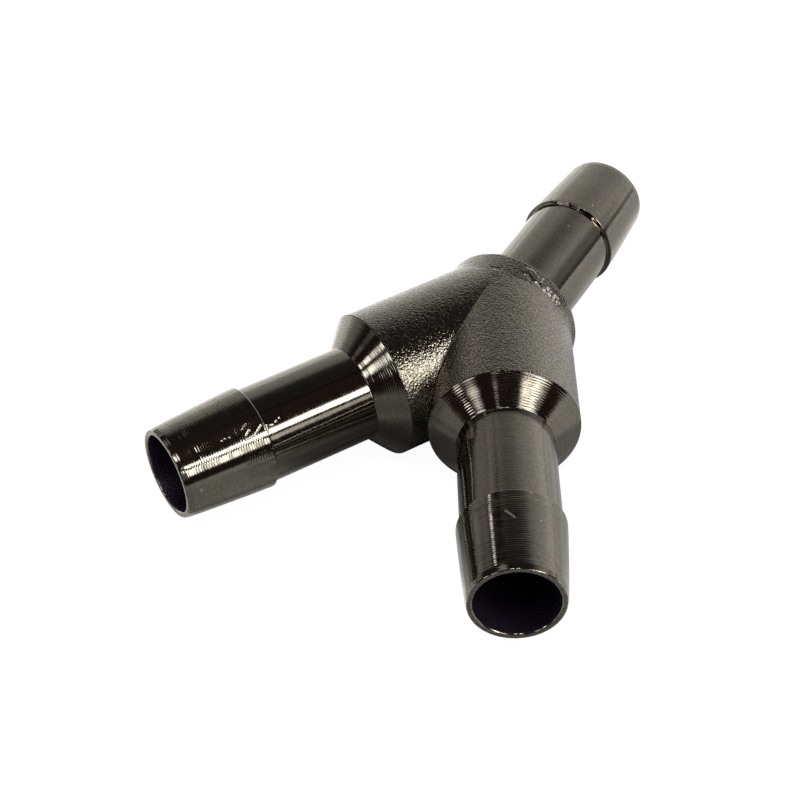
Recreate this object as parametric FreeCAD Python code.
import FreeCAD, Part
import math
import os

# Barbed hose wye (a three-way, Y-shaped connector) for 10 mm (3/8 inch) bore hose.
# A centre body of three equal round arms carries three turned hose tails. Each tail
# is a sleeve: a shank seated in the body's socket, a steep cone, a plain stem for
# the hose clamp, and one long barb.
#
# Frame: origin where the three flow axes cross. The axes lie in the XY plane.
# The trunk leg points along +Y, the two branch legs lean either side of -Y (left is
# towards -X), and +Z is up. Millimetres.

Vector = FreeCAD.Vector
ORIGIN = Vector(0, 0, 0)
UP = Vector(0, 0, 1)

# ---- centre body: sizes -------------------------------------------------------
BRANCH_HALF_ANGLE = 29.15      # each branch axis from -Y, degrees
BODY_R = 7.75                  # round arms
BRANCH_SHOULDER = 15.65        # arm's end face, along a branch from the origin
TRUNK_SHOULDER = 3.25          # arm's end face, along the trunk from the origin
TRUNK_RIM_ROUND = 0.25         # rounded rim of the trunk arm
FLOW_R = 4.1                   # flow bore, the same in every leg

# ---- hose tails: sizes --------------------------------------------------------
CONE_LEN = 2.5                 # from the shoulder down to the stem
STEM_R = 5.0
STEM_LEN = 11.75
CONE_SLOPE = (BODY_R - STEM_R) / CONE_LEN
BARB_BACK = 0.15               # axial length of the barb's steep back face
CREST_R = 5.385
CREST_LAND = 1.0               # short cylindrical land on the crest
BARB_LEN = 9.85                # whole barb, back face to mouth
# taper of the barb: (distance from the start of the barb, radius)
BARB_TAPER = [(2.58, 5.24), (5.0, 5.10), (7.4, 4.955), (9.1, 4.815)]
TIP_R = 4.69                   # where the taper meets the mouth's lip
LIP_ROUND = 0.18               # outer rounding of the lip
LIP_FACETS = 4                 # straight steps that make up the rounding
LIP_BREAK = 0.12               # broken inner edge of the mouth

SHANK_R = 5.3                  # seated line to line in its socket
BRANCH_SHANK = 5.0             # shank length inside a branch socket
TRUNK_SHANK = 2.1              # shorter, so it stays clear of the branch bores
SHANK_LEAD = 0.3               # lead-in chamfer on the shank's end
TRUNK_ROOT_R = BODY_R - TRUNK_RIM_ROUND  # tail's widest radius, inside the rounded rim

# ---- construction allowances --------------------------------------------------
ARM_START = -14                # arms and bores start behind the origin, then are mitred
OVERRUN = 1.0                  # cutters run this far past the end faces
SECTOR_REACH = 60.0
SECTOR_BULGE = 1.6             # middle corner of a sector, as a multiple of its reach
SECTOR_HALF_HEIGHT = 20.0

# ---- leg directions, in degrees from +X ---------------------------------------
TRUNK_ANGLE = 90.0
LEFT_ANGLE = 270.0 - BRANCH_HALF_ANGLE
RIGHT_ANGLE = 270.0 + BRANCH_HALF_ANGLE

# upright mitre planes halve the angles between neighbouring legs
MITRE_RIGHT = (TRUNK_ANGLE + RIGHT_ANGLE - 360.0) / 2.0
MITRE_LEFT = (TRUNK_ANGLE + LEFT_ANGLE) / 2.0
MITRE_BRANCHES = 270.0


def direction(angle):
    turn = math.radians(angle)
    return Vector(math.cos(turn), math.sin(turn), 0)


def turned(face, angle):
    """Solid turned from a half-section drawn along X, then laid on a leg."""
    solid = face.revolve(ORIGIN, Vector(1, 0, 0), 360)
    solid.rotate(ORIGIN, UP, angle)
    return solid


def rod(radius, start, end, angle):
    """Round bar along a leg, between two distances from the origin."""
    axis = direction(angle)
    return Part.makeCylinder(radius, end - start, axis * start, axis)


def sector(start_angle, end_angle):
    """Wedge of space between two upright mitre planes through the origin."""
    middle = direction((start_angle + end_angle) / 2.0)
    base = Vector(0, 0, -SECTOR_HALF_HEIGHT)
    corners = [
        base,
        base + direction(start_angle) * SECTOR_REACH,
        base + middle * SECTOR_REACH * SECTOR_BULGE,
        base + direction(end_angle) * SECTOR_REACH,
    ]
    face = Part.Face(Part.makePolygon(corners + [base]))
    return face.extrude(UP * (2 * SECTOR_HALF_HEIGHT))


def mitred(trunk, radius, branch_end):
    """Join a trunk bar and two branch bars, each trimmed to its own sector."""
    trunk = trunk.common(sector(MITRE_RIGHT, MITRE_LEFT))
    left = rod(radius, ARM_START, branch_end, LEFT_ANGLE)
    left = left.common(sector(MITRE_LEFT, MITRE_BRANCHES))
    right = rod(radius, ARM_START, branch_end, RIGHT_ANGLE)
    right = right.common(sector(MITRE_BRANCHES, 360.0 + MITRE_RIGHT))
    return trunk.fuse([left, right])


def trunk_bar():
    """Bar along the trunk with a rounded rim at its end face."""
    round_x = TRUNK_SHOULDER - TRUNK_RIM_ROUND
    round_y = BODY_R - TRUNK_RIM_ROUND
    diagonal = TRUNK_RIM_ROUND * math.sqrt(0.5)
    axis_start = Vector(ARM_START, 0, 0)
    side_start = Vector(ARM_START, BODY_R, 0)
    side_end = Vector(round_x, BODY_R, 0)
    rim_middle = Vector(round_x + diagonal, round_y + diagonal, 0)
    rim_end = Vector(TRUNK_SHOULDER, round_y, 0)
    axis_end = Vector(TRUNK_SHOULDER, 0, 0)
    edges = [
        Part.makeLine(axis_start, side_start),
        Part.makeLine(side_start, side_end),
        Part.Arc(side_end, rim_middle, rim_end).toShape(),
        Part.makeLine(rim_end, axis_end),
        Part.makeLine(axis_end, axis_start),
    ]
    return turned(Part.Face(Part.Wire(edges)), TRUNK_ANGLE)


def wye_body():
    body = mitred(trunk_bar(), BODY_R, BRANCH_SHOULDER)

    # three equal bores meet on the same mitre planes
    trunk_bore = rod(FLOW_R, ARM_START, TRUNK_SHOULDER + OVERRUN, TRUNK_ANGLE)
    body = body.cut(mitred(trunk_bore, FLOW_R, BRANCH_SHOULDER + OVERRUN))

    # a socket in each arm's end takes a tail's shank
    for angle, shoulder, depth in (
        (TRUNK_ANGLE, TRUNK_SHOULDER, TRUNK_SHANK),
        (LEFT_ANGLE, BRANCH_SHOULDER, BRANCH_SHANK),
        (RIGHT_ANGLE, BRANCH_SHOULDER, BRANCH_SHANK),
    ):
        body = body.cut(rod(SHANK_R, shoulder - depth, shoulder + OVERRUN, angle))
    return body.removeSplitter()


def hose_tail(shoulder, shank, root_r, angle):
    """One tail, from (distance along the leg, radius) points."""
    shank_end = shoulder - shank
    stem_start = shoulder + CONE_LEN
    barb_start = stem_start + STEM_LEN
    mouth = barb_start + BARB_LEN
    profile = [
        (shank_end, FLOW_R),
        (shank_end, SHANK_R - SHANK_LEAD),
        (shank_end + SHANK_LEAD, SHANK_R),
        (shoulder, SHANK_R),
        (shoulder, root_r),
    ]
    # the cone keeps its slope, so a smaller root starts further down it
    if root_r < BODY_R:
        profile.append((shoulder + (BODY_R - root_r) / CONE_SLOPE, root_r))
    profile += [
        (stem_start, STEM_R),
        (barb_start, STEM_R),
        (barb_start + BARB_BACK, CREST_R),
        (barb_start + BARB_BACK + CREST_LAND, CREST_R),
    ]
    profile += [(barb_start + distance, radius) for distance, radius in BARB_TAPER]
    for i in range(LIP_FACETS + 1):
        turn = math.radians(90.0 * i / LIP_FACETS)
        profile.append((
            mouth - LIP_ROUND + LIP_ROUND * math.sin(turn),
            TIP_R - LIP_ROUND + LIP_ROUND * math.cos(turn),
        ))
    profile += [(mouth, FLOW_R + LIP_BREAK), (mouth - LIP_BREAK, FLOW_R)]
    points = [Vector(distance, radius, 0) for distance, radius in profile]
    return turned(Part.Face(Part.makePolygon(points + [points[0]])), angle)


# ---- write one STEP per piece -------------------------------------------------
pieces = {
    "wye_body": wye_body(),
    "trunk_hose_tail": hose_tail(TRUNK_SHOULDER, TRUNK_SHANK, TRUNK_ROOT_R, TRUNK_ANGLE),
    "left_hose_tail": hose_tail(BRANCH_SHOULDER, BRANCH_SHANK, BODY_R, LEFT_ANGLE),
    "right_hose_tail": hose_tail(BRANCH_SHOULDER, BRANCH_SHANK, BODY_R, RIGHT_ANGLE),
}
os.makedirs("parts", exist_ok=True)
for name, shape in pieces.items():
    if shape.ShapeType != "Solid":
        if len(shape.Solids) != 1:
            raise ValueError(f"{name} is {len(shape.Solids)} solids")
        shape = shape.Solids[0]
    if not shape.isValid() or shape.Volume <= 0:
        raise ValueError(f"{name} isn't a valid solid")
    shape.exportStep(f"parts/{name}.step")
